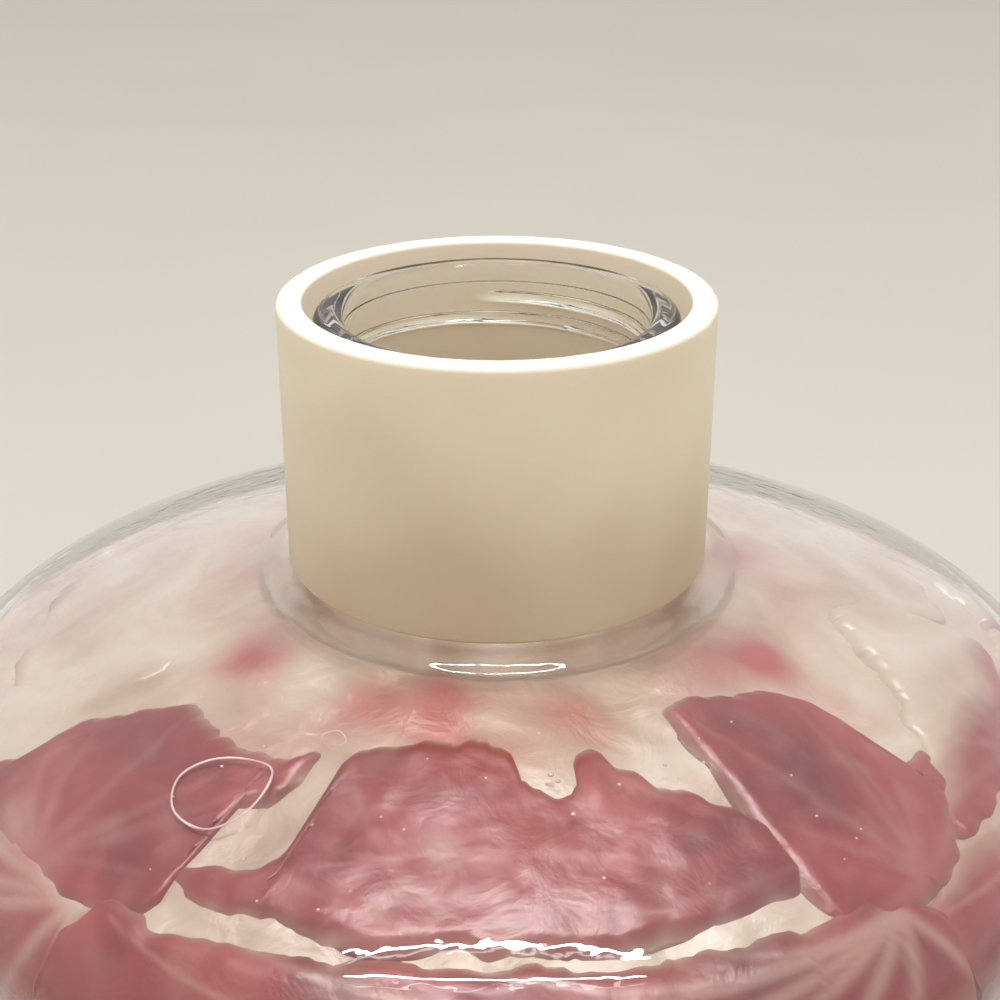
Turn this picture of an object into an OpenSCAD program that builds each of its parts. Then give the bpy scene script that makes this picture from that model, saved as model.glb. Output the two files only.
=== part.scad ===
// Water seal pickle jar: a wide glass jar with a threaded neck, a screw-on
// collar that holds the sealing water round the neck, the collar's gasket,
// and the pickled leaves packed inside. Millimetres, +Z up, origin at the
// centre of the base.

/* [Jar body] */
// Outside diameter of the body
body_d = 320; // [290:1:360]
// Height of the shoulder dome's top, carried on over the neck
dome_top_h = 314; // [250:1:380]
// Outside radius of the shoulder dome
dome_r = 343; // [300:1:420]
// Outside radius of the bend between the dome and the wall
bend_r = 32; // [24:1:45]
// Outside radius of the bend between the wall and the base
heel_r = 45; // [25:1:60]
// Glass thickness of the wall and the dome
glass_t = 5; // [3.5:0.1:6.5]
// Glass thickness of the base
base_t = 14; // [12:0.5:18]
// Width of the flat ring that the jar stands on
foot_ring_w = 17; // [6:1:30]
// Depth of the hollow under the base
push_up_h = 7; // [4:0.5:9]

/* [Neck] */
// Inside diameter of the neck
neck_bore_d = 77; // [74:0.5:79]
// Glass thickness of the neck
neck_t = 6.6; // [5.6:0.1:7]
// Distance that the lip stands out from the neck's wall
lip_out = 1.1; // [0.8:0.1:1.4]
// Height of the thickened lip
lip_h = 6.5; // [5:0.1:7.5]
// Rounding of the lip's upper edges
lip_edge_r = 2.8; // [1.5:0.1:3]
// Rounding of the lip's lower edge
lip_under_r = 0.8; // [0.3:0.1:0.8]
// Height of the lip above the seat
neck_h = 66.5; // [60:0.5:72]
// Radius at the foot of the neck, outside
neck_root_r = 3.5; // [2:0.1:4.4]
// Radius at the foot of the neck, inside
neck_blend_r = 7; // [4:0.5:9]

/* [Seat] */
// Width of the raised seat outside the collar that stands on it
seat_margin = 5.5; // [4:0.1:9]
// Height of the seat above the dome, at the seat's edge
seat_step = 2.3; // [2:0.1:3.5]
// Rounding of the seat's edge
seat_edge_r = 2; // [1.5:0.1:2.5]
// Radius where the seat's edge runs out on the dome
seat_foot_r = 3; // [2:0.1:5]

/* [Thread] */
// Rise of the thread in one turn
thread_lead = 6; // [5.5:0.1:8]
// Turns of thread on the neck
neck_thread_turns = 1.25; // [1:0.05:1.5]
// Width of the neck's thread at its foot
neck_thread_w = 3.2; // [2.6:0.1:3.4]
// Width of the neck's thread at its crest
neck_thread_crest_w = 1.6; // [1:0.1:2]
// Distance from the lip's top down to the middle of the thread's start
neck_thread_drop = 10.5; // [9.5:0.1:14]
// Direction in which the neck's thread starts
neck_thread_start = 98; // [0:1:359]
// Turns of thread in the collar
collar_thread_turns = 1.2; // [0.8:0.05:1.2]
// Clearance between the lip and the collar's thread, which passes over it
thread_clear = 0.6; // [0.4:0.05:0.8]
// Depth by which the two threads overlap
thread_grip = 0.9; // [0.6:0.1:1.1]
// Width of the collar's thread at its foot
collar_thread_w = 2.2; // [1.6:0.1:2.4]
// Width of the collar's thread at its crest
collar_thread_crest_w = 1.1; // [0.8:0.1:1.5]
// Play along the axis between the two threads
thread_play = 0.35; // [0.3:0.05:0.5]
// Turn over which a thread fades out at each end
thread_fade = 24; // [10:1:40]

/* [Collar] */
// Gap between the lip and the collar
collar_gap = 2.3; // [2:0.1:4]
// Wall thickness of the collar
collar_t = 6.5; // [5.8:0.1:7]
// Height of the collar
collar_h = 69; // [66:0.5:80]
// Rounding of the rim's outer edge
rim_outer_r = 1.4; // [0.5:0.1:2.5]
// Rounding of the rim's inner edge
rim_inner_r = 1; // [0.5:0.1:2.5]
// Rounding of the collar's bottom edges
collar_foot_r = 0.7; // [0.3:0.1:1]

/* [Gasket] */
// Width of the gasket's ring
gasket_w = 3.2; // [2.4:0.1:3.4]
// Height of the gasket
gasket_h = 4; // [3:0.1:5]
// Height by which the gasket stands out under the collar
gasket_show = 1; // [0.6:0.1:1.5]
// Rounding of the gasket's edges
gasket_edge_r = 0.5; // [0.2:0.1:0.6]
// Clearance between the gasket and its groove
gasket_play = 0.08; // [0.05:0.01:0.1]
// Gap left between the gasket and the seat
gasket_rest_gap = 0.03; // [0.01:0.01:0.05]

/* [Packed leaves] */
// Brine film between the glass and the leaves
film_t = 1.2; // [0.8:0.1:2]
// Thickness of a leaf
leaf_t = 5; // [3:0.1:7]
// Gap between neighbouring leaves
leaf_gap = 4; // [2:0.5:8]
// Gap between the leaves and the heart
heart_gap = 1; // [0.5:0.1:2]
// Radius at which the top leaves begin
top_leaf_r_in = 78; // [60:1:90]
// Distance from the top leaves to the end of the dome
top_leaf_margin = 10; // [8:1:20]
// Distance that the rim leaves reach below the bend
rim_leaf_drop = 34; // [15:1:50]

/* [Hidden] */
$fn = 128;
// Directions at which the leaves of each row meet, in turn
top_leaf_cuts = [-152, -117, -59, -39, 2, 48, 94, 151, 208];
rim_leaf_cuts = [-128, -50, 8, 62, 121, 178, 232];
upper_side_cuts = [-104, -38, 20, 74, 135, 196, 256];
lower_side_cuts = [-136, -72, -10, 52, 108, 168, 224];

body_r = body_d/2;
push_up_ring_r = body_r - heel_r - foot_ring_w;
bore_r = neck_bore_d/2;
neck_r = bore_r + neck_t;
lip_r = neck_r + lip_out;
collar_bore_r = lip_r + collar_gap;
collar_r = collar_bore_r + collar_t;
seat_r = collar_r + seat_margin;
collar_thread_r = lip_r + thread_clear;
neck_thread_r = collar_thread_r + thread_grip;

// The dome and its bend, shared by every skin inside or outside the glass
dome_c = [0, dome_top_h - dome_r];
bend_c = [body_r - bend_r,
          dome_c.y + sqrt(pow(dome_r - bend_r, 2) - pow(body_r - bend_r, 2))];
dome_end_angle = asin(bend_c.x/(dome_r - bend_r));

seat_top = dome_z(seat_r) + seat_step;
lip_top = seat_top + neck_h;
collar_foot = seat_top + gasket_rest_gap + gasket_show;
rim_top = collar_foot + collar_h;
gasket_mid_r = collar_r - collar_t/2;

neck_thread_z = lip_top - neck_thread_drop;
// Half of what each thread widens by, per millimetre from crest to foot
neck_flank = (neck_thread_w - neck_thread_crest_w)/2/(neck_thread_r - neck_r);
collar_flank = (collar_thread_w - collar_thread_crest_w)/2/(collar_bore_r - collar_thread_r);
// The collar's thread hangs on the underside of the neck's thread
threads_apart = (neck_thread_crest_w + collar_thread_crest_w)/2 + thread_play
    + thread_grip*max(neck_flank, collar_flank);

leaf_skin = glass_t + film_t;
heart_skin = leaf_skin + leaf_t + heart_gap;
side_leaf_top = bend_c.y - rim_leaf_drop - leaf_gap;
side_leaf_bottom = base_t + heel_r;
side_leaf_h = (side_leaf_top - side_leaf_bottom - leaf_gap)/2;
top_leaf_r_out = dome_r*sin(dome_end_angle) - top_leaf_margin;
// Middle of the leaves' thickness, measured from the dome's centre
mid_leaf_r = dome_r - leaf_skin - leaf_t/2;

function dome_z(r, skin = 0) = dome_c.y + sqrt(pow(dome_r - skin, 2) - r*r);

function unit(v) = v/norm(v);

// The point where two circles meet, on the side of larger x
function circles_meet(a, ra, b, rb) =
    let (
        d = norm(b - a),
        u = (b - a)/d,
        along = (ra*ra - rb*rb + d*d)/(2*d),
        across = sqrt(ra*ra - along*along),
        side = [u.y, -u.x],
        p = a + along*u + across*side,
        q = a + along*u - across*side
    ) p.x > q.x ? p : q;

// A rectangle from low to high with its own radius at each corner
module rounded_bar(low, high, bottom_left = 0, bottom_right = 0, top_right = 0, top_left = 0) {
    difference() {
        translate(low) square(high - low);
        corner_waste(low, [1, 1], bottom_left);
        corner_waste([high.x, low.y], [-1, 1], bottom_right);
        corner_waste(high, [-1, -1], top_right);
        corner_waste([low.x, high.y], [1, -1], top_left);
    }
}

// What rounding takes off a square corner; into points from the corner inwards
module corner_waste(corner, into, r) {
    over = 1;
    if (r > 0)
        difference() {
            translate(corner + into*((r - over)/2)) square(r + over, center = true);
            translate(corner + into*r) circle(r);
        }
}

// Half of the body's outline, drawn in from the glass's outside by skin
module body_outline(skin, floor_z) {
    dome_end = dome_c + (dome_r - skin)*[sin(dome_end_angle), cos(dome_end_angle)];
    intersection() {
        translate(dome_c) circle(dome_r - skin, $fn = 256);
        translate([0, bend_c.y]) square([dome_end.x, dome_r]);
    }
    translate(bend_c) circle(bend_r - skin);
    rounded_bar([0, floor_z], [body_r - skin, bend_c.y], bottom_right = heel_r - skin);
}

// A concave fillet between a convex edge circle and the dome outside the seat
module seat_run_out() {
    edge_c = [seat_r - seat_edge_r, seat_top - seat_edge_r];
    foot_c = circles_meet(edge_c, seat_edge_r + seat_foot_r, dome_c, dome_r + seat_foot_r);
    dome_touch = dome_c + dome_r*unit(foot_c - dome_c);
    deep = dome_c + (dome_r - 1)*unit(foot_c - dome_c);
    difference() {
        polygon([edge_c, [edge_c.x, deep.y], deep, dome_touch, foot_c]);
        translate(foot_c) circle(seat_foot_r);
    }
    translate(edge_c) circle(seat_edge_r);
}

// What the rounded foot of the neck's bore takes off the glass inside
module bore_run_out() {
    inner_r = dome_r - glass_t;
    c = [bore_r + neck_blend_r,
         dome_c.y + sqrt(pow(inner_r + neck_blend_r, 2) - pow(bore_r + neck_blend_r, 2))];
    touch = dome_c + inner_r*unit(c - dome_c);
    inside = dome_c + (inner_r - 1)*unit(c - dome_c);
    difference() {
        polygon([[bore_r - 1, c.y], [bore_r - 1, inside.y - 1], inside, touch, c]);
        translate(c) circle(neck_blend_r);
    }
}

module glass_outline() {
    shoulder_z = dome_z(seat_r);
    difference() {
        union() {
            body_outline(0, 0);
            translate([0, shoulder_z - 1]) square([seat_r - seat_edge_r, seat_step + 1]);
            seat_run_out();
            rounded_bar([bore_r, shoulder_z - 1], [neck_r, lip_top - lip_h/2]);
            translate([neck_r, seat_top]) difference() {
                square(neck_root_r);
                translate([neck_root_r, neck_root_r]) circle(neck_root_r);
            }
        }
        body_outline(glass_t, base_t);
        bore_run_out();
        translate([-1, shoulder_z - 2*glass_t]) square([bore_r + 1, neck_h + 3*glass_t]);
    }
    rounded_bar([bore_r, lip_top - lip_h], [lip_r, lip_top],
        bottom_right = min(lip_under_r, lip_out), top_right = lip_edge_r, top_left = lip_edge_r);
}

// A ridge wound clockwise and down from its start. It grows from r_foot, where
// it is w_foot wide, to r_crest, and its flanks run on into the wall behind. At
// its ends it is still as high as half a degree of its fade makes it.
module thread_ridge(r_foot, r_crest, w_foot, w_crest, z_start, start, turns) {
    sunk = 0.8;
    stub = 0.5;
    dir = sign(r_crest - r_foot);
    w_sunk = w_foot + (w_foot - w_crest)*sunk/abs(r_crest - r_foot);
    steps = ceil(turns*60);
    whole = turns*360;
    function height(a) = min(1, (a + stub)/thread_fade, (whole - a + stub)/thread_fade);
    function section(a) =
        let (
            k = height(a),
            z = z_start - thread_lead*a/360,
            r = r_foot + k*(r_crest - r_foot),
            w = w_foot + k*(w_crest - w_foot)
        )
        [[r_foot - dir*sunk, z + w_sunk/2], [r, z + w/2], [r, z - w/2], [r_foot - dir*sunk, z - w_sunk/2]];
    rings = [for (i = [0:steps]) let (a = whole*i/steps)
        [for (p = section(a)) [p.x*cos(start - a), p.x*sin(start - a), p.y]]];
    points = [for (ring = rings, p = ring) p];
    sides = [for (i = [0:steps - 1], j = [0:3])
        let (a = 4*i + j, b = 4*i + (j + 1)%4, c = a + 4, d = b + 4)
        each (dir > 0 ? [[a, b, c], [b, d, c]] : [[a, c, b], [b, c, d]])];
    e = 4*steps;
    ends = dir > 0
        ? [[0, 2, 1], [0, 3, 2], [e, e + 1, e + 2], [e, e + 2, e + 3]]
        : [[0, 1, 2], [0, 2, 3], [e, e + 2, e + 1], [e, e + 3, e + 2]];
    polyhedron(points, concat(sides, ends));
}

module glass_jar() {
    push_up_r = (push_up_ring_r*push_up_ring_r + push_up_h*push_up_h)/(2*push_up_h);
    color([0.84, 0.86, 0.84, 0.45]) {
        difference() {
            rotate_extrude($fn = 180) glass_outline();
            translate([0, 0, push_up_h - push_up_r]) sphere(push_up_r, $fn = 180);
        }
        thread_ridge(neck_r, neck_thread_r, neck_thread_w, neck_thread_crest_w,
            neck_thread_z, neck_thread_start, neck_thread_turns);
    }
}

module water_seal_collar() {
    groove_w = gasket_w + 2*gasket_play;
    groove_h = gasket_h - gasket_show + gasket_play;
    color([0.91, 0.87, 0.74]) {
        rotate_extrude($fn = 180) difference() {
            rounded_bar([collar_bore_r, collar_foot], [collar_r, rim_top],
                bottom_left = collar_foot_r, bottom_right = collar_foot_r,
                top_right = rim_outer_r, top_left = rim_inner_r);
            translate([gasket_mid_r - groove_w/2, collar_foot - 1]) square([groove_w, groove_h + 1]);
        }
        thread_ridge(collar_bore_r, collar_thread_r, collar_thread_w, collar_thread_crest_w,
            neck_thread_z - threads_apart, neck_thread_start, collar_thread_turns);
    }
}

module collar_gasket() {
    color([0.78, 0.74, 0.66])
        rotate_extrude($fn = 180)
            rounded_bar([gasket_mid_r - gasket_w/2, seat_top + gasket_rest_gap],
                [gasket_mid_r + gasket_w/2, seat_top + gasket_rest_gap + gasket_h],
                gasket_edge_r, gasket_edge_r, gasket_edge_r, gasket_edge_r);
}

// The space between two skins inside the glass, leaf_t apart
module leaf_band(floor_z) {
    difference() {
        body_outline(leaf_skin, floor_z);
        body_outline(leaf_skin + leaf_t, floor_z - 1);
    }
}

// Turns a leaf's section from one direction to the next, less the gap
module leaf(from, to, r) {
    gap = leaf_gap/r*180/PI;
    rotate([0, 0, from + gap/2]) rotate_extrude(angle = to - from - gap, $fn = 90) children();
}

module top_leaf(i) {
    starts = asin(top_leaf_r_in/mid_leaf_r);
    ends = asin(top_leaf_r_out/mid_leaf_r);
    color([0.72, 0.27, 0.27])
        leaf(top_leaf_cuts[i - 1], top_leaf_cuts[i], top_leaf_r_out) {
            intersection() {
                leaf_band(0);
                translate(dome_c) polygon([[0, 0], 2*dome_r*[sin(starts), cos(starts)],
                    2*dome_r*[sin(ends), cos(ends)]]);
            }
            for (a = [starts, ends])
                translate(dome_c + mid_leaf_r*[sin(a), cos(a)]) circle(leaf_t/2, $fn = 24);
        }
}

module rim_leaf(i) {
    starts = asin(top_leaf_r_out/mid_leaf_r) + (leaf_gap + leaf_t)/mid_leaf_r*180/PI;
    bottom = bend_c.y - rim_leaf_drop + leaf_t/2;
    color([0.66, 0.2, 0.21])
        leaf(rim_leaf_cuts[i - 1], rim_leaf_cuts[i], body_r) {
            difference() {
                leaf_band(0);
                translate(dome_c) polygon([[0, 0], 2*dome_r*[sin(starts), cos(starts)], [0, 2*dome_r]]);
                translate([-1, -1]) square([body_r + 2, bottom + 1]);
            }
            translate(dome_c + mid_leaf_r*[sin(starts), cos(starts)]) circle(leaf_t/2, $fn = 24);
            translate([body_r - leaf_skin - leaf_t/2, bottom]) circle(leaf_t/2, $fn = 24);
        }
}

module side_leaf(high, cuts, i) {
    flat = 0.01;
    round_r = leaf_t/2 - flat;
    color([0.62, 0.17, 0.19])
        leaf(cuts[i - 1], cuts[i], body_r)
            rounded_bar([body_r - leaf_skin - leaf_t, high - side_leaf_h],
                [body_r - leaf_skin, high], round_r, round_r, round_r, round_r);
}

module packed_heart() {
    color([0.8, 0.71, 0.6])
        rotate_extrude($fn = 180) body_outline(heart_skin, base_t + film_t);
}

glass_jar();
water_seal_collar();
collar_gasket();
packed_heart();
for (i = [1:8]) top_leaf(i);
for (i = [1:6]) rim_leaf(i);
for (i = [1:6]) side_leaf(side_leaf_top, upper_side_cuts, i);
for (i = [1:6]) side_leaf(side_leaf_top - side_leaf_h - leaf_gap, lower_side_cuts, i);
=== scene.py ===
import math
import random

import bpy
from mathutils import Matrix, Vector, noise


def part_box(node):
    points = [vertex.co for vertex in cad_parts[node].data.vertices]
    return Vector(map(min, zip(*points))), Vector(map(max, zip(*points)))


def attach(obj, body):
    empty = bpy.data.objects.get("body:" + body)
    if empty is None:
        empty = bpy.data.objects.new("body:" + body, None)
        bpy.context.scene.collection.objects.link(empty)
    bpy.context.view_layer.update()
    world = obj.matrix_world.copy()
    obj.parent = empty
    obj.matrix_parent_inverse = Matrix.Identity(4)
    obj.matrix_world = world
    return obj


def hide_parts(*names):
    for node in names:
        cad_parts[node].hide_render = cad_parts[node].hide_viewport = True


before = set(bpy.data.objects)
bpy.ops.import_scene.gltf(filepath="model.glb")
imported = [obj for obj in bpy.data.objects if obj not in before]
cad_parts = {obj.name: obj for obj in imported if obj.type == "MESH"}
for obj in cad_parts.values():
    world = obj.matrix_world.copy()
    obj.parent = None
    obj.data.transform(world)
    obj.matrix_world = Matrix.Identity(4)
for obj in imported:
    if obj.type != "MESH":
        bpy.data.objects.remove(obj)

# The vector noise starts from the clock unless it has a seed
noise.seed_set(1)

# Lengths are millimetres, as in the CAD source; meshes are written in metres.
MM = 0.001
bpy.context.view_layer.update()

BODY_R = 160.0
DOME_R = 343.0
DOME_CZ = -29.0
BEND_R = 32.0
BEND_CR = BODY_R - BEND_R
BEND_CZ = DOME_CZ + math.sqrt((DOME_R - BEND_R) ** 2 - BEND_CR ** 2)
DOME_END = math.asin(BEND_CR / (DOME_R - BEND_R))
DOME_S = DOME_R * DOME_END
BEND_S = BEND_R * (math.pi / 2 - DOME_END)
HEEL_R = 45.0
GLASS_T = 5.0
BASE_T = 14.0
FOOT_RING_R = 98.0
PUSH_UP_H = 7.0

BORE_R = 38.5
NECK_R = 45.1
LIP_R = 46.2
LIP_H = 6.5
LIP_EDGE_R = 2.8
LIP_UNDER_R = 0.8
NECK_ROOT_R = 3.5
NECK_BLEND_R = 7.0
SEAT_FLAT_R = 57.0
SEAT_SWELL = 8.0
SEAT_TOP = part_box("collar_gasket")[0].z / MM - 0.03
LIP_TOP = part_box("glass_jar")[1].z / MM

COLLAR_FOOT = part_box("water_seal_collar")[0].z / MM
RIM_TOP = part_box("water_seal_collar")[1].z / MM
COLLAR_R = 55.0
COLLAR_BORE_R = 48.5

# Direction in degrees, depth and half width in degrees of each nick in the rim's outer edge
RIM_NICKS = [(3, 0.5, 1.8), (-13, 0.7, 1.6), (-24, 0.4, 2.2), (160, 0.3, 2.0)]

THREAD_LEAD = 6.0
THREAD_START = 98.0
NECK_THREAD = {"z": LIP_TOP - 10.5, "turns": 1.25, "h": 2.6, "w": 3.2, "crest": 1.6}
COLLAR_THREAD = {"z": LIP_TOP - 12.5, "turns": 1.2, "h": 1.7, "w": 2.2, "crest": 1.1}
THREAD_FADE = 24.0

LEAF_DEPTH = 6.7
HEART_DEPTH = 12.6
# Width of the band along a leaf's edge where it fades and curls in
EDGE_W = 5.0


def arc(cx, cz, r, from_deg, to_deg, steps):
    """Points along an arc, with angles measured from +X towards +Z."""
    points = []
    for i in range(steps + 1):
        a = math.radians(from_deg + (to_deg - from_deg) * i / steps)
        points.append((cx + r * math.cos(a), cz + r * math.sin(a)))
    return points


def run(a, b, step):
    """Points from a to b, both left out, a step apart."""
    length = math.dist(a, b)
    n = max(1, round(length / step))
    return [(a[0] + (b[0] - a[0]) * i / n, a[1] + (b[1] - a[1]) * i / n) for i in range(1, n)]


def new_piece(name, verts, faces, body, nodes, material):
    """A smooth mesh piece, in metres, that stands for CAD nodes and rides on their body."""
    mesh = bpy.data.meshes.new(name)
    mesh.from_pydata([Vector(v) * MM for v in verts], [], faces)
    mesh.update()
    for p in mesh.polygons:
        p.use_smooth = True
    obj = bpy.data.objects.new(name, mesh)
    bpy.context.scene.collection.objects.link(obj)
    mesh.materials.append(material)
    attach(obj, body)
    if nodes:
        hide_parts(*nodes)
    return obj


def set_attribute(obj, name, values):
    """Stores one number for each vertex, for the materials to read."""
    layer = obj.data.attributes.new(name, "FLOAT", "POINT")
    layer.data.foreach_set("value", values)


def revolve(profile, around, move=None):
    """Vertices and faces of a profile turned about Z. A point with r = 0 becomes a single vertex."""
    verts, faces, rows = [], [], []
    for r, z in profile:
        if r < 1e-6:
            rows.append([len(verts)] * around)
            verts.append((0, 0, z))
            continue
        row = []
        for k in range(around):
            a = 2 * math.pi * k / around
            rr, zz = move(r, z, a) if move else (r, z)
            row.append(len(verts))
            verts.append((rr * math.cos(a), rr * math.sin(a), zz))
        rows.append(row)
    for low, high in zip(rows, rows[1:]):
        for k in range(around):
            m = (k + 1) % around
            face = [low[k], low[m], high[m], high[k]]
            faces.append([v for i, v in enumerate(face) if v != face[i - 1]])
    return verts, faces


def ridge_height(thread, z, a):
    """How far a thread stands out of its wall at height z and direction a."""
    best = 0.0
    back = (THREAD_START - math.degrees(a)) % 360
    while back <= 360 * thread["turns"]:
        off = abs(z - (thread["z"] - THREAD_LEAD * back / 360))
        flank = (thread["w"] / 2 - off) / ((thread["w"] - thread["crest"]) / 2)
        fade = min(1, back / THREAD_FADE, (360 * thread["turns"] - back) / THREAD_FADE)
        best = max(best, min(1, max(0, flank)) * fade)
        back += 360
    return best * thread["h"]


def principled(name, colour, roughness, **sockets):
    """A material with its Principled shader and its node tree at hand."""
    mat = bpy.data.materials.new(name)
    mat.use_nodes = True
    shader = mat.node_tree.nodes["Principled BSDF"]
    shader.inputs["Base Color"].default_value = (*colour, 1)
    shader.inputs["Roughness"].default_value = roughness
    for key, value in sockets.items():
        shader.inputs[key.replace("_", " ")].default_value = value
    return mat, shader, mat.node_tree


def noise_node(tree, scale, detail=3.0, distortion=0.0, stretch=(1, 1, 1)):
    coords = tree.nodes.new("ShaderNodeTexCoord")
    mapping = tree.nodes.new("ShaderNodeMapping")
    mapping.inputs["Scale"].default_value = stretch
    tex = tree.nodes.new("ShaderNodeTexNoise")
    tex.inputs["Scale"].default_value = scale
    tex.inputs["Detail"].default_value = detail
    tex.inputs["Distortion"].default_value = distortion
    tree.links.new(coords.outputs["Object"], mapping.inputs["Vector"])
    tree.links.new(mapping.outputs["Vector"], tex.inputs["Vector"])
    return tex.outputs["Fac"]


def ramp_node(tree, factor, stops):
    ramp = tree.nodes.new("ShaderNodeValToRGB")
    elements = ramp.color_ramp.elements
    while len(elements) < len(stops):
        elements.new(0.5)
    for element, (at, colour) in zip(elements, stops):
        element.position = at
        element.color = (*colour, 1)
    tree.links.new(factor, ramp.inputs["Fac"])
    return ramp.outputs["Color"]


def mix_node(tree, factor, a, b):
    mix = tree.nodes.new("ShaderNodeMix")
    mix.data_type = "RGBA"
    tree.links.new(factor, mix.inputs[0])
    for socket, value in ((mix.inputs[6], a), (mix.inputs[7], b)):
        if isinstance(value, tuple):
            socket.default_value = (*value, 1)
        else:
            tree.links.new(value, socket)
    return mix.outputs[2]


def bump(tree, shader, factor, strength, distance):
    node = tree.nodes.new("ShaderNodeBump")
    node.inputs["Strength"].default_value = strength
    node.inputs["Distance"].default_value = distance
    tree.links.new(factor, node.inputs["Height"])
    tree.links.new(node.outputs["Normal"], shader.inputs["Normal"])


def glass_material():
    mat, shader, tree = principled("jar_glass", (0.955, 0.965, 0.95), 0.015, IOR=1.45,
                                   Transmission_Weight=1.0)
    ripple = noise_node(tree, 110.0, 2.0, 0.3, (1, 1, 2.2))
    bump(tree, shader, ripple, 0.12, 0.0004)
    return mat


def collar_material():
    mat, shader, tree = principled("collar_plastic", (0.72, 0.64, 0.47), 0.36,
                                   Subsurface_Weight=0.25, Subsurface_Scale=0.006)
    cloud = noise_node(tree, 14.0, 3.0)
    light = ramp_node(tree, cloud, [(0.3, (0.80, 0.72, 0.52)), (0.7, (0.86, 0.79, 0.60))])
    # Painted shade: the collar's colour turns to this darker tan towards its foot, by the tan attribute,
    # where shade falls on it.
    tan = ramp_node(tree, cloud, [(0.3, (0.58, 0.47, 0.31)), (0.7, (0.66, 0.56, 0.39))])
    height = tree.nodes.new("ShaderNodeAttribute")
    height.attribute_name = "tan"
    side = mix_node(tree, height.outputs["Fac"], light, tan)
    # Painted light: by the rim attribute, a near white painted highlight on the rim's top and a lighter bore
    # wall painted over its shade.
    rim = tree.nodes.new("ShaderNodeAttribute")
    rim.attribute_name = "rim"
    colour = mix_node(tree, rim.outputs["Fac"], side, (0.90, 0.87, 0.78))
    tree.links.new(colour, shader.inputs["Base Color"])
    bump(tree, shader, noise_node(tree, 420.0, 2.0), 0.12, 0.0003)
    return mat


def gasket_material():
    mat, shader, tree = principled("gasket_rubber", (0.48, 0.40, 0.30), 0.5)
    cloud = noise_node(tree, 60.0, 2.0)
    colour = ramp_node(tree, cloud, [(0.3, (0.42, 0.35, 0.26)), (0.7, (0.52, 0.45, 0.35))])
    tree.links.new(colour, shader.inputs["Base Color"])
    bump(tree, shader, noise_node(tree, 500.0, 1.0), 0.1, 0.0002)
    return mat


def tan_colour(tree):
    """The pale flesh's clouds of tan, beige and a little pink."""
    cloud = noise_node(tree, 22.0, 5.0, 1.0)
    return ramp_node(tree, cloud, [(0.3, (0.40, 0.26, 0.20)), (0.5, (0.55, 0.41, 0.33)),
                                   (0.7, (0.64, 0.54, 0.46))])


def leaf_material():
    """Red leaf: clouds of deep and pinkish red, pale along its ribs and where it has faded."""
    mat, shader, tree = principled("red_leaf", (0.45, 0.07, 0.08), 0.3,
                                   Subsurface_Weight=0.15, Subsurface_Scale=0.004)
    cloud = noise_node(tree, 26.0, 5.0, 0.8)
    red = ramp_node(tree, cloud, [(0.28, (0.125, 0.006, 0.011)), (0.5, (0.245, 0.020, 0.026)),
                                  (0.74, (0.36, 0.070, 0.072))])
    rib = tree.nodes.new("ShaderNodeAttribute")
    rib.attribute_name = "rib"
    tone = tree.nodes.new("ShaderNodeAttribute")
    tone.attribute_name = "pale"
    faded = mix_node(tree, tone.outputs["Fac"], red, tan_colour(tree))
    colour = mix_node(tree, rib.outputs["Fac"], faded, (0.68, 0.50, 0.42))
    tree.links.new(colour, shader.inputs["Base Color"])
    bump(tree, shader, noise_node(tree, 90.0, 4.0, 0.5), 0.45, 0.0014)
    return mat


def bubble_glint_material():
    """Painted highlight: the pale colour of a bubble's edge, which stands for its glint."""
    mat, shader, tree = principled("bubble_painted_glint", (0.75, 0.55, 0.55), 0.3)
    cloud = noise_node(tree, 120.0, 2.0)
    colour = ramp_node(tree, cloud, [(0.35, (0.55, 0.28, 0.28)), (0.65, (0.80, 0.62, 0.62))])
    tree.links.new(colour, shader.inputs["Base Color"])
    return mat


def heart_material():
    """The pale mass: tan folds, stained red near the neck."""
    mat, shader, tree = principled("pale_heart", (0.5, 0.4, 0.3), 0.35,
                                   Subsurface_Weight=0.15, Subsurface_Scale=0.004)
    stain = tree.nodes.new("ShaderNodeAttribute")
    stain.attribute_name = "stain"
    colour = mix_node(tree, stain.outputs["Fac"], tan_colour(tree), (0.38, 0.07, 0.075))
    tree.links.new(colour, shader.inputs["Base Color"])
    bump(tree, shader, noise_node(tree, 70.0, 4.0, 0.5), 0.8, 0.0020)
    return mat


GLASS = glass_material()
COLLAR = collar_material()
GASKET = gasket_material()
LEAF = leaf_material()
HEART = heart_material()
BUBBLE_GLINT = bubble_glint_material()


def body_skin(skin, floor_z, dome_from_deg, dense):
    """The body's outline from its floor up to the dome, drawn in by skin."""
    end_deg = 90 - math.degrees(DOME_END)
    points = arc(BODY_R - HEEL_R, HEEL_R, HEEL_R - skin, -90, 0, 12)
    points = [(r, max(z, floor_z)) for r, z in points]
    points += run((BODY_R - skin, HEEL_R), (BODY_R - skin, BEND_CZ), dense)
    points += arc(BEND_CR, BEND_CZ, BEND_R - skin, 0, end_deg, 16)
    points += arc(0, DOME_CZ, DOME_R - skin, end_deg, dome_from_deg, 40)[1:]
    return points


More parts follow.
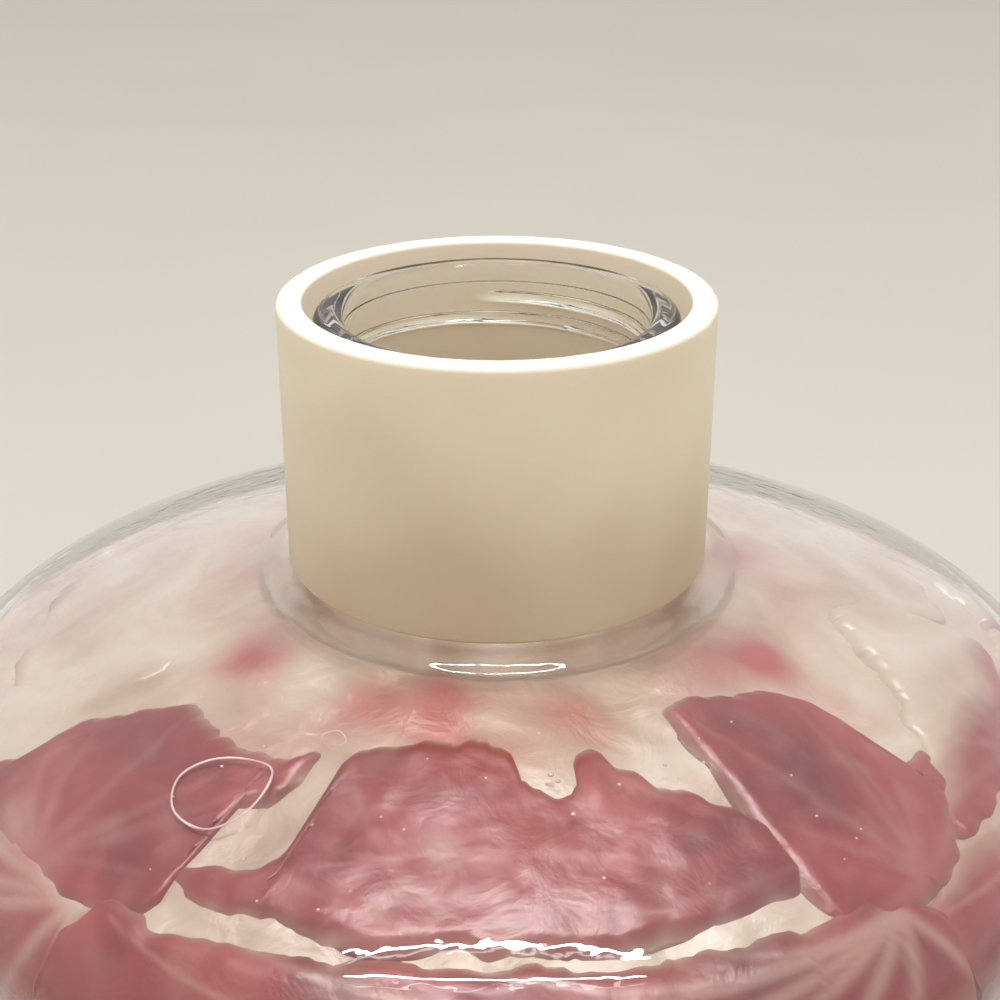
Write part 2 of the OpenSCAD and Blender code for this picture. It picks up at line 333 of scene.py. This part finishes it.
def jar():
    """The blown glass jar, one closed surface with its neck thread."""
    swell_end = SEAT_FLAT_R + SEAT_SWELL
    touch_deg = math.degrees(math.acos(swell_end / DOME_R))
    push_r = (FOOT_RING_R ** 2 + PUSH_UP_H ** 2) / (2 * PUSH_UP_H)
    push = [(FOOT_RING_R * i / 10, PUSH_UP_H - push_r + math.sqrt(push_r ** 2 - (FOOT_RING_R * i / 10) ** 2))
            for i in range(11)]
    outside = push + body_skin(0, 0, touch_deg, 12)
    for i in range(1, 17):
        t = i / 16
        r = swell_end - SEAT_SWELL * t
        dome_z = DOME_CZ + math.sqrt(DOME_R ** 2 - r * r)
        outside.append((r, dome_z + (SEAT_TOP - dome_z) * t * t * (3 - 2 * t)))
    root = (NECK_R + NECK_ROOT_R, SEAT_TOP + NECK_ROOT_R)
    outside += run((SEAT_FLAT_R, SEAT_TOP), (root[0], SEAT_TOP), 2.5)
    outside += arc(*root, NECK_ROOT_R, 270, 180, 8)
    lip_foot = LIP_TOP - LIP_H
    outside += run((NECK_R, root[1]), (NECK_R, lip_foot), 0.55) + [(NECK_R, lip_foot)]
    outside += arc(LIP_R - LIP_UNDER_R, lip_foot + LIP_UNDER_R, LIP_UNDER_R, -90, 0, 4)
    outside += arc(LIP_R - LIP_EDGE_R, LIP_TOP - LIP_EDGE_R, LIP_EDGE_R, 0, 90, 8)
    outside += arc(BORE_R + LIP_EDGE_R, LIP_TOP - LIP_EDGE_R, LIP_EDGE_R, 90, 180, 8)
    inner_r = DOME_R - GLASS_T
    blend_r = BORE_R + NECK_BLEND_R
    blend = (blend_r, DOME_CZ + math.sqrt((inner_r + NECK_BLEND_R) ** 2 - blend_r ** 2))
    inner_touch = math.degrees(math.atan2(blend[1] - DOME_CZ, blend_r))
    inside = run((BORE_R, LIP_TOP - LIP_EDGE_R), (BORE_R, blend[1]), 4)
    inside += arc(*blend, NECK_BLEND_R, 180, 180 + inner_touch, 10)
    inside += list(reversed(body_skin(GLASS_T, BASE_T, inner_touch, 12)))[1:]
    inside += [(60, BASE_T), (0, BASE_T)]

    def move(r, z, a):
        if abs(r - NECK_R) < 1e-6 and z < lip_foot:
            r += ridge_height(NECK_THREAD, z, a)
        soft = noise.noise(Vector((math.cos(a) * 2.1, math.sin(a) * 2.1, z * 0.02)))
        if HEEL_R < z < SEAT_TOP - 4 and r > swell_end + 2:
            r -= 0.35 * (0.5 + 0.5 * soft)
        return r, z

    verts, faces = revolve(outside + inside, 288, move)
    obj = new_piece("blown_jar", verts, faces, "jar", ["glass_jar"], GLASS)
    # Clear glass: light reaches the contents as if the wall threw no shadow
    obj.visible_shadow = False
    obj.visible_diffuse = False
    return obj


def collar():
    """The water seal collar, with the gasket's groove and its thread, worn along the rim."""
    groove_w = 3.36
    groove_h = 3.08
    mid = (COLLAR_R + COLLAR_BORE_R) / 2
    foot = COLLAR_FOOT
    profile = arc(COLLAR_BORE_R + 0.7, foot + 0.7, 0.7, 180, 270, 4)
    profile += [(mid - groove_w / 2, foot), (mid - groove_w / 2, foot + groove_h)]
    profile += [(mid + groove_w / 2, foot + groove_h), (mid + groove_w / 2, foot)]
    profile += arc(COLLAR_R - 0.7, foot + 0.7, 0.7, 270, 360, 4)
    profile += run((COLLAR_R, foot + 0.7), (COLLAR_R, RIM_TOP - 1.4), 3)
    profile += arc(COLLAR_R - 1.4, RIM_TOP - 1.4, 1.4, 0, 90, 6)
    profile += run((COLLAR_R - 1.4, RIM_TOP), (COLLAR_BORE_R + 1, RIM_TOP), 1)
    profile += arc(COLLAR_BORE_R + 1, RIM_TOP - 1, 1.0, 90, 180, 6)
    profile += run((COLLAR_BORE_R, RIM_TOP - 1), (COLLAR_BORE_R, foot + 0.7), 0.55)
    profile.append(profile[0])

    def move(r, z, a):
        if abs(r - COLLAR_BORE_R) < 1e-6:
            r -= ridge_height(COLLAR_THREAD, z, a)
        if z > RIM_TOP - 1.5:
            z -= 0.12 * abs(noise.noise(Vector((math.cos(a) * 9, math.sin(a) * 9, r * 0.4))))
        for at, deep, wide in RIM_NICKS:
            turn = (math.degrees(a) - at + 180) % 360 - 180
            if z > RIM_TOP - 2 and r > COLLAR_R - 2.2:
                z -= deep * math.exp(-(turn / wide) ** 2)
        return r, z

    verts, faces = revolve(profile, 240, move)
    obj = new_piece("moat_collar", verts, faces, "collar",
                    ["water_seal_collar"], COLLAR)
    # Painted shade: the collar is darker tan towards its foot, with random blotches of tone.
    painted_foot_shade = []
    for x, y, z in verts:
        down = (RIM_TOP - z) / (RIM_TOP - foot)
        spot = noise.noise(Vector((x, y, z)) * 0.03)
        painted_foot_shade.append(min(1, max(0, 1.25 * down - 0.15 + 0.5 * spot)))
    set_attribute(obj, "tan", painted_foot_shade)
    # Painted light: 1 on the rim's top for a painted highlight, 0.55 on the bore wall to paint it lighter
    # than its shade.
    painted_light = []
    for x, y, z in verts:
        top = min(1, max(0, (z - RIM_TOP + 1.2) / 0.9))
        painted_light.append(max(top, 0.55 if math.hypot(x, y) < COLLAR_BORE_R + 0.1 else 0))
    set_attribute(obj, "rim", painted_light)
    return obj


def gasket():
    low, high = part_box("collar_gasket")
    z0, z1 = low.z / MM, high.z / MM
    mid = (COLLAR_R + COLLAR_BORE_R) / 2
    half = 1.6
    edge = 0.5
    profile = arc(mid + half - edge, z0 + edge, edge, -90, 0, 4)
    profile += arc(mid + half - edge, z1 - edge, edge, 0, 90, 4)
    profile += arc(mid - half + edge, z1 - edge, edge, 90, 180, 4)
    profile += arc(mid - half + edge, z0 + edge, edge, 180, 270, 4)
    profile.append(profile[0])
    verts, faces = revolve(profile, 200)
    return new_piece("rubber_gasket", verts, faces, "gasket",
                     ["collar_gasket"], GASKET)


def skin_point(az, s, depth):
    """A point depth inside the glass's outer skin; s runs from the dome's top out and down."""
    if s < DOME_S:
        a = s / DOME_R
        r, z = (DOME_R - depth) * math.sin(a), DOME_CZ + (DOME_R - depth) * math.cos(a)
    elif s < DOME_S + BEND_S:
        a = DOME_END + (s - DOME_S) / BEND_R
        r, z = BEND_CR + (BEND_R - depth) * math.sin(a), BEND_CZ + (BEND_R - depth) * math.cos(a)
    else:
        r, z = BODY_R - depth, BEND_CZ - (s - DOME_S - BEND_S)
    return r * math.cos(math.radians(az)), r * math.sin(math.radians(az)), z


def on_dome(az, r):
    return az, DOME_R * math.asin(min(r, DOME_R) / DOME_R)


def smooth_loop(points, n):
    """n points along a closed Catmull-Rom curve through the given points."""
    out = []
    count = len(points)
    for i in range(n):
        t = i / n * count
        k = int(t)
        f = t - k
        p = [points[(k + j - 1) % count] for j in range(4)]
        out.append(tuple(0.5 * (2 * p[1][c] + (p[2][c] - p[0][c]) * f
                                + (2 * p[0][c] - 5 * p[1][c] + 4 * p[2][c] - p[3][c]) * f * f
                                + (3 * p[1][c] - p[0][c] - 3 * p[2][c] + p[3][c]) * f ** 3)
                         for c in range(2)))
    return out


def rounded_cell(az0, az1, s0, s1, seed):
    """A leaf outline that fills a cell, with rounded corners and a wavy edge."""
    points = []
    for i in range(28):
        t = 2 * math.pi * i / 28
        c, s = math.cos(t), math.sin(t)
        wave = 0.97 + 0.16 * noise.noise(Vector((seed * 7.3, 1.7 * c, 1.7 * s)))
        u = math.copysign(abs(c) ** 0.45, c) * wave
        v = math.copysign(abs(s) ** 0.45, s) * wave
        points.append(((az0 + az1) / 2 + u * (az1 - az0) / 2, (s0 + s1) / 2 + v * (s1 - s0) / 2))
    return points


def ragged(point, seed):
    """Shifts a point of an outline by a few millimetres, so that the edge is torn and wavy."""
    az, s = point
    p = Vector((az * 0.9, s * 0.5, seed * 3.1))
    coarse, fine = noise.noise_vector(p * 0.22), noise.noise_vector(p * 0.8)
    return az + 1.5 * coarse.x + 0.7 * fine.x, s + 2.6 * coarse.y + 1.2 * fine.y


def spans(loop, columns):
    """For each column of directions, the least and the greatest s where the outline crosses it."""
    low_az, high_az = min(p[0] for p in loop), max(p[0] for p in loop)
    out = []
    for k in range(columns + 1):
        az = low_az + (high_az - low_az) * min(0.9995, max(0.0005, k / columns))
        hits = []
        for (a0, s0), (a1, s1) in zip(loop, loop[1:] + loop[:1]):
            if (a0 <= az) != (a1 <= az):
                hits.append(s0 + (s1 - s0) * (az - a0) / (a1 - a0))
        out.append((az, min(hits), max(hits)))
    return out


def leaf(name, node, outline, root, seed, ribbed=0.12, red_from=0.0, under=0.0, columns=110, rows=64):
    """A broad leaf under the glass: domed, curled in at its edge, with ribs from its root.
    It is pale where it lies nearer the axis than red_from. It lies under by that much more."""
    loop = [ragged(p, seed) for p in smooth_loop(outline, 360)]
    centre_s = sum(p[1] for p in loop) / len(loop)
    per_deg = max(60.0, min(BODY_R, centre_s)) * math.pi / 180
    tips = [loop[k * 40] for k in range(9)]
    rng = random.Random(seed)
    bends = [rng.uniform(-0.16, 0.16) for _ in tips]

    def rib_at(az, s):
        best = 0.0
        for tip, bend in zip(tips, bends):
            ax, ay = (tip[0] - root[0]) * per_deg, tip[1] - root[1]
            px, py = (az - root[0]) * per_deg, s - root[1]
            length = math.hypot(ax, ay)
            along = (px * ax + py * ay) / max(1, length) ** 2
            if length < 12 or not 0 <= along <= 0.97:
                continue
            off = (px * ay - py * ax) / length - bend * length * along * (1 - along) * 2
            width = 1.9 * (1 - along) + 0.55
            best = max(best, math.exp(-(off / width) ** 2) * (0.85 - 0.5 * along))
        return best

    verts, ribs, pales, faces = [], [], [], []
    for k, (az, s0, s1) in enumerate(spans(loop, columns)):
        for j in range(rows + 1):
            s = s0 + (s1 - s0) * j / rows
            inset = min(s - s0, s1 - s, min(k, columns - k) / columns * 2 * (loop_width(loop) * per_deg / 2))
            p = Vector(skin_point(az, s, LEAF_DEPTH))
            wave = noise.noise(p * 0.045 + Vector((seed, 0, 0)))
            fine = noise.noise(p * 0.16 + Vector((0, seed, 0)))
            rib = rib_at(az, s) * ribbed
            bleached = (red_from - math.hypot(p.x, p.y)) / 9 + 0.5 + 0.9 * wave
            rim = max(0.0, 1 - inset / EDGE_W)
            curl = 5.5 if red_from else 2.6
            depth = LEAF_DEPTH + under + 0.9 * (1 + wave) + 0.35 * (1 + fine) - 0.35 * rib + curl * rim * rim
            verts.append(skin_point(az, s, max(LEAF_DEPTH - 0.3, depth)))
            ribs.append(rib)
            faded = max(0, wave * 0.9 - 0.42) + 0.14 * max(0, fine) + 0.75 * rim * rim * (1 + fine)
            if red_from:
                faded += max(0, bleached)
            pales.append(min(1, faded))
    high = rows + 1
    for k in range(columns):
        for j in range(rows):
            a = k * high + j
            faces.append([a, a + 1, a + high + 1, a + high])
    obj = new_piece(name, verts, faces, "jar", [node], LEAF)
    set_attribute(obj, "rib", ribs)
    set_attribute(obj, "pale", pales)
    solid = obj.modifiers.new("thickness", "SOLIDIFY")
    solid.thickness = 0.9 * MM
    solid.offset = 1
    return obj


def loop_width(loop):
    """The range of directions that an outline spans, in degrees."""
    return max(p[0] for p in loop) - min(p[0] for p in loop)


TOP_OUTLINES = {
    1: ([(-155, 141), (-152, 128), (-153, 118), (-150, 107), (-144, 93), (-134, 95), (-124, 92),
         (-117.5, 90), (-119, 104), (-126, 119), (-126, 130), (-125, 141), (-138, 146)], (-138, 141)),
    2: ([(-112, 87), (-104, 81), (-91, 77.5), (-87, 83), (-85.5, 91), (-80, 92), (-76, 81.5), (-72, 87),
         (-68, 95), (-61, 105), (-57.5, 118), (-58, 130), (-71, 132.5), (-90, 132), (-104, 133),
         (-118, 132), (-127, 128), (-115, 119), (-112, 104)], (-88, 131)),
    3: ([(-58, 77), (-44, 79), (-36, 91), (-38, 103), (-45, 110), (-46.5, 120), (-42, 123),
         (-37, 118), (-31, 121), (-37, 135), (-44, 144), (-56, 144), (-59, 136), (-58.5, 118),
         (-58, 100)], (-47, 140)),
    4: ([(-39, 133), (-32, 119), (-20, 104), (-8, 90), (1, 98), (2, 118), (-2, 137), (-20, 142),
         (-36, 142)], (-22, 139)),
}
TOP_CELLS = {5: (3.5, 46.5), 6: (49.5, 92.5), 7: (95.5, 149.5), 8: (152.5, 206.5)}
FRONT_RIM_EDGE = [(-129, 141), (-120, 138), (-105, 134.5), (-90, 134.8), (-72, 135.5), (-60, 137.5),
                  (-49, 141)]
RIM_CUTS = [-128, -50, 8, 62, 121, 178, 232]
UPPER_CUTS = [-104, -38, 20, 74, 135, 196, 256]
LOWER_CUTS = [-136, -72, -10, 52, 108, 168, 224]


def leaves():
    for i, (points, root) in TOP_OUTLINES.items():
        leaf(f"red_top_leaf_{i}", f"top_leaf_{i}", [on_dome(*p) for p in points], on_dome(*root), i,
             red_from=126 if i == 4 else 0)
    for i, (az0, az1) in TOP_CELLS.items():
        outline = rounded_cell(az0, az1, on_dome(0, 80)[1], on_dome(0, 133)[1], i)
        leaf(f"red_top_leaf_{i}", f"top_leaf_{i}", outline, ((az0 + az1) / 2, on_dome(0, 132)[1]), i,
             red_from=130, under=1.8)
    rim_s0 = on_dome(0, 134.5)[1]
    rim_s1 = DOME_S + BEND_S + 37
    wall_s = DOME_S + BEND_S + BEND_CZ
    for i in range(6):
        az0, az1 = RIM_CUTS[i] - 2.5, RIM_CUTS[i + 1] + 2.5
        root = (az1 - 5, rim_s0 + 9)
        outline = rounded_cell(az0, az1, rim_s0, rim_s1, 20 + i)
        if i == 0:
            upper_edge = [on_dome(*p) for p in FRONT_RIM_EDGE]
            outline = upper_edge + [(az1, rim_s1 - 12), (-66, rim_s1 + 2), (-90, rim_s1 - 3),
                                    (-112, rim_s1 + 3), (az0, rim_s1 - 12)]
        leaf(f"red_rim_leaf_{i + 1}", f"rim_leaf_{i + 1}", outline, root, 20 + i, ribbed=0.45,
             red_from=0 if i == 0 else 142, under=0.9 * (i % 2))
    for rows, cuts, label in ((0, UPPER_CUTS, "upper"), (1, LOWER_CUTS, "lower")):
        for i in range(6):
            node = f"{label}_side_leaf_{i + 1}"
            low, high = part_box(node)
            az0, az1 = cuts[i] - 3.5, cuts[i + 1] + 3.5
            seed = 40 + 10 * rows + i
            outline = rounded_cell(az0, az1, wall_s - high.z / MM - 9, wall_s - low.z / MM + 4, seed)
            root = (az0 + (az1 - az0) * (0.25 + 0.25 * (i % 3)), wall_s - low.z / MM - 4)
            leaf(f"red_{node}", node, outline, root, seed, ribbed=0.5, under=0.9 * (i % 2) + 1.0 * (1 - rows))


def heart():
    """The pale mass between and under the leaves, in folds."""
    verts, faces, stains = [], [], []
    around, steps = 300, 120
    s_floor = DOME_S + BEND_S + BEND_CZ - HEEL_R
    s_top = 2.0
    for j in range(steps + 1):
        s = s_top + (s_floor - s_top) * j / steps
        for k in range(around):
            az = 360 * k / around
            p = Vector(skin_point(az, s, HEART_DEPTH))
            fold = noise.noise(p * 0.035)
            fine = noise.noise(p * 0.13 + Vector((9, 0, 0)))
            raised = 3.4 + 2.2 * fold + 0.9 * fine
            # The mass bulges between the leaves of the dome, and stays behind the others
            past_dome = (s - DOME_S) / BEND_S
            raised *= 1 - 0.85 * min(1, max(0, past_dome))
            verts.append(skin_point(az, s, HEART_DEPTH - max(0, raised)))
            reach = math.hypot(p.x, p.y)
            near = math.exp(-((reach - 69) / 12) ** 2) * (0.6 - 0.4 * p.y / max(1, reach))
            spots = noise.noise(p * 0.05 + Vector((0, 31, 0)))
            stains.append(min(1, max(0, near * (0.5 + 1.3 * spots) + max(0, spots - 0.35))))
    for j in range(steps):
        for k in range(around):
            m = (k + 1) % around
            a, b = j * around, (j + 1) * around
            faces.append([a + k, b + k, b + m, a + m])
    top = len(verts)
    verts.append(skin_point(0, 0, HEART_DEPTH - 1))
    faces += [[top, k, (k + 1) % around] for k in range(around)]
    inner = BODY_R - HEEL_R
    last = steps * around
    for radius, z in ((BODY_R - HEART_DEPTH - 8, 32), (inner, BASE_T + 1.4)):
        start = len(verts)
        for k in range(around):
            a = 2 * math.pi * k / around
            verts.append((radius * math.cos(a), radius * math.sin(a), z))
        faces += [[last + k, start + k, start + (k + 1) % around, last + (k + 1) % around]
                  for k in range(around)]
        last = start
    bottom = len(verts)
    verts.append((0, 0, BASE_T + 1.4))
    faces += [[bottom, last + (k + 1) % around, last + k] for k in range(around)]
    obj = new_piece("packed_mass", verts, faces, "jar", ["packed_heart"], HEART)
    set_attribute(obj, "stain", stains + [0.0] * (len(verts) - len(stains)))
    return obj


def bubble(name, outline, thick):
    """The wall of a flat air bubble that is caught between the glass and the leaves."""
    loop = smooth_loop([on_dome(*p) for p in outline], 72)
    verts, faces = [], []
    sides = 8
    for k, (az, s) in enumerate(loop):
        centre = Vector(skin_point(az, s, GLASS_T + 0.9))
        before = Vector(skin_point(*loop[k - 1], GLASS_T + 0.9))
        after = Vector(skin_point(*loop[(k + 1) % len(loop)], GLASS_T + 0.9))
        out = centre.normalized()
        along = (after - before).normalized()
        side = along.cross(out).normalized()
        wide = thick * (0.7 + 0.5 * noise.noise(centre * 0.2))
        for j in range(sides):
            a = 2 * math.pi * j / sides
            verts.append(centre + wide * (math.cos(a) * side + 0.6 * math.sin(a) * out))
    for k in range(len(loop)):
        for j in range(sides):
            a, b = k * sides, (k + 1) % len(loop) * sides
            m = (j + 1) % sides
            faces.append([a + j, b + j, b + m, a + m])
    # The pale bubble material is a painted highlight on the bubble's wall.
    return new_piece(name, verts, faces, "jar", [], BUBBLE_GLINT)


def pinhead_bubbles():
    """Small bubbles that cling to the glass over the leaves; their pale colour is a painted highlight for
    their sparkles.
    """
    rng = random.Random(5)
    places = [(-82.4, 91, 0.75), (-81.6, 93, 0.6), (-83.2, 93.5, 0.5), (-80.6, 102, 0.6), (-66, 93.5, 0.45),
              (-73.5, 96, 0.5)]
    places += [(rng.uniform(-130, -48), rng.uniform(78, 132), rng.uniform(0.2, 0.42)) for _ in range(26)]
    verts, faces = [], []
    around, rings = 10, 5
    for az, r, size in places:
        centre = Vector(skin_point(*on_dome(az, r), GLASS_T + 0.6))
        first = len(verts)
        for j in range(rings + 1):
            tilt = math.pi * j / rings
            for k in range(around):
                turn = 2 * math.pi * k / around
                verts.append(centre + size * Vector((math.sin(tilt) * math.cos(turn),
                                                     math.sin(tilt) * math.sin(turn), 0.6 * math.cos(tilt))))
        for j in range(rings):
            for k in range(around):
                a, m = first + j * around, (k + 1) % around
                faces.append([a + k, a + m, a + around + m, a + around + k])
    return new_piece("pinhead_bubbles", verts, faces, "jar", [], BUBBLE_GLINT)


def area_light(name, place, size_x, size_y, power, aim=(0, 0, 0.3), colour=(1, 1, 1)):
    data = bpy.data.lights.new(name, "AREA")
    data.shape = "RECTANGLE"
    data.size = size_x
    data.size_y = size_y
    data.energy = power
    data.color = colour
    obj = bpy.data.objects.new(name, data)
    bpy.context.scene.collection.objects.link(obj)
    obj.location = place
    obj.rotation_euler = (Vector(aim) - Vector(place)).to_track_quat("-Z", "Y").to_euler()
    return obj


def studio():
    """Plain pale floor, soft light, two overhead tubes, and the camera at the photograph's angle."""
    half = 60.0
    mesh = bpy.data.meshes.new("studio_floor")
    mesh.from_pydata([(-half, -half, 0), (half, -half, 0), (half, half, 0), (-half, half, 0)],
                     [], [(0, 1, 2, 3)])
    floor = bpy.data.objects.new("studio_floor", mesh)
    bpy.context.scene.collection.objects.link(floor)
    mat, shader, tree = principled("studio_floor", (0.66, 0.61, 0.54), 0.8)
    cloud = noise_node(tree, 1.5, 2.0)
    colour = ramp_node(tree, cloud, [(0.3, (0.61, 0.575, 0.515)), (0.7, (0.64, 0.605, 0.545))])
    tree.links.new(colour, shader.inputs["Base Color"])
    mesh.materials.append(mat)

    world = bpy.data.worlds.new("studio_world")
    bpy.context.scene.world = world
    world.use_nodes = True
    world.node_tree.nodes["Background"].inputs["Color"].default_value = (1.0, 0.98, 0.95, 1)
    world.node_tree.nodes["Background"].inputs["Strength"].default_value = 0.85

    tube_z = 2.49
    area_light("tube_far", (0, 0.06, tube_z), 1.2, 0.016, 13.0, (0, 0.06, 0))
    area_light("tube_near", (0, -0.115, tube_z), 1.2, 0.016, 13.0, (0, -0.115, 0))
    bpy.context.scene.view_settings.view_transform = "Standard"

    data = bpy.data.cameras.new("camera")
    data.sensor_width = 36.0
    data.lens = 60.04
    data.shift_x = 0.003
    data.clip_start = 0.01
    camera = bpy.data.objects.new("camera", data)
    bpy.context.scene.collection.objects.link(camera)
    camera.location = (0, -0.400, RIM_TOP * MM + 0.125)
    camera.rotation_euler = (math.radians(65.59), 0, 0)
    bpy.context.scene.camera = camera


jar()
collar()
gasket()
heart()
leaves()
bubble("kidney_bubble", [(-128.5, 117), (-131.5, 110), (-130, 103), (-126, 99), (-121.5, 98.5),
                         (-120, 104), (-120.5, 112), (-123.5, 118)], 0.42)
bubble("round_bubble", [(-118, 86), (-116, 83.5), (-113.8, 86), (-116, 88.5)], 0.22)
pinhead_bubbles()
studio()
